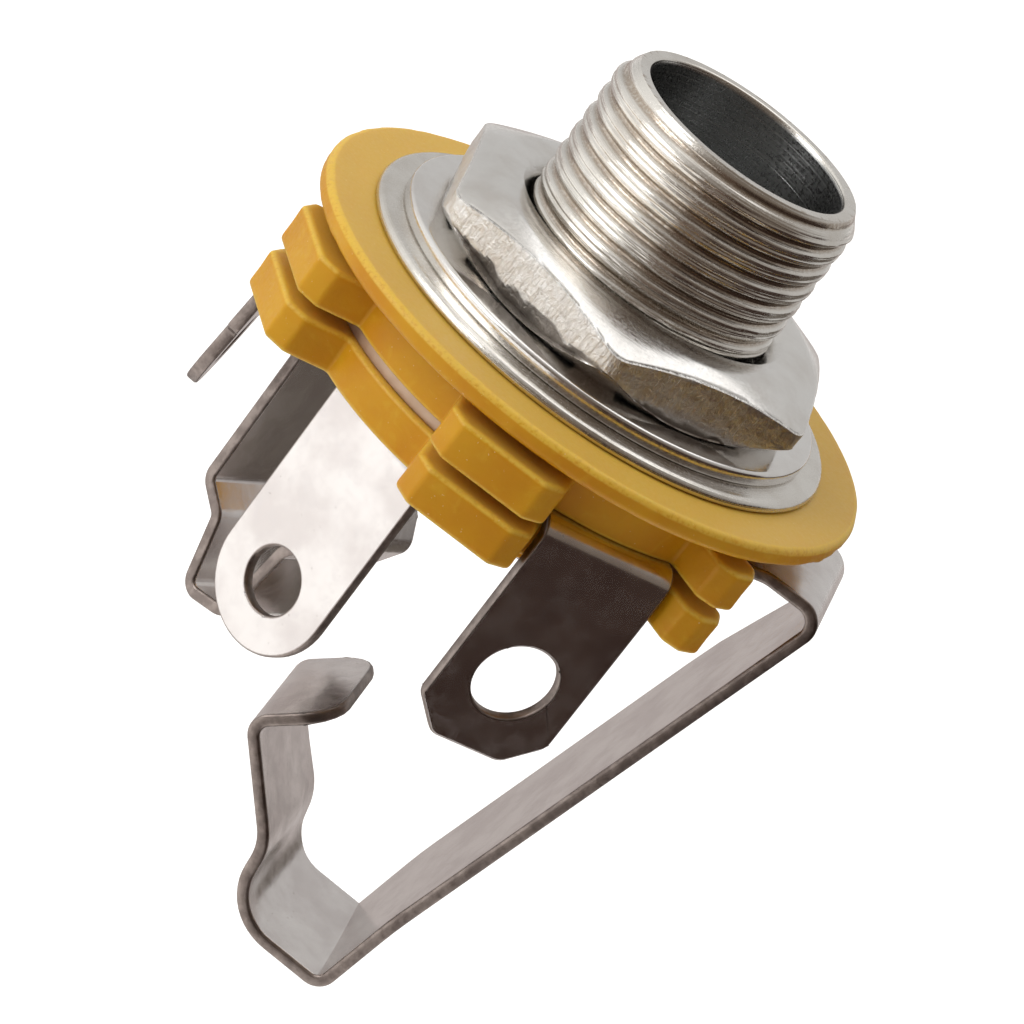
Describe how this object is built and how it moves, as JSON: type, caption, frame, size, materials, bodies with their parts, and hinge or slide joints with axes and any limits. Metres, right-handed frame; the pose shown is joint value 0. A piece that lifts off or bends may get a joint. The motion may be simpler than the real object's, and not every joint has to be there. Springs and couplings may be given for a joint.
{
  "type": "phone jack",
  "caption": "Open frame panel jack for a 6.35 mm stereo phone plug: threaded bushing with hex nut and washer, amber insulating wafers, solder lugs and bent leaf spring contacts.",
  "frame": {"origin": "on the plug axis, in the plane of the flange face that meets the panel", "axes": "+Z along the plug axis, out of the mouth; +X towards the tip spring"},
  "size_m": [0.0222, 0.0214, 0.0328],
  "materials": {
    "nickel_turned": "nickel plated, turned and threaded",
    "nickel_hardware": "nickel plated, polished faces and rough flats",
    "contact_sheet": "nickel plated spring sheet, satin",
    "amber_plastic": "moulded, slightly translucent"
  },
  "bodies": {
    "frame": {"bushing": "nickel_turned", "flange": "nickel_turned", "front_disc": "amber_plastic", "sleeve_contact": "contact_sheet", "upper_wafer": "amber_plastic", "tip_contact": "contact_sheet", "lower_wafer": "amber_plastic", "ring_contact": "contact_sheet", "rear_washer": "amber_plastic"},
    "washer": {"panel_washer": "nickel_hardware"},
    "nut": {"hex_nut": "nickel_hardware"},
    "tip_leaf": {"tip_spring": "contact_sheet"},
    "ring_leaf": {"ring_spring": "contact_sheet"}
  },
  "joints": [
    {"name": "tip_flex", "type": "hinge", "parent": "frame", "child": "tip_leaf", "pos_m": [0.0105, 0, -0.0024], "axis": [0, -1, 0], "range_deg": [0, 17], "stiffness_Nm_per_rad": 0.17},
    {"name": "ring_flex", "type": "hinge", "parent": "frame", "child": "ring_leaf", "pos_m": [-0.00606, 0.0035, -0.00495], "axis": [0.5, 0.866, 0], "range_deg": [0, 8], "stiffness_Nm_per_rad": 0.2},
    {"name": "washer_lift", "type": "slide", "parent": "frame", "child": "washer", "axis": [0, 0, 1], "range_m": [0, 0.00476]},
    {"name": "nut_turn", "type": "hinge", "parent": "washer", "child": "nut", "pos_m": [0, 0, 0], "axis": [0, 0, 1], "range_deg": [0, 2160]}
  ],
  "couplings": [
    {"joint": "nut_turn", "follows": "washer_lift", "rad_per_m": 7915.8}
  ]
}
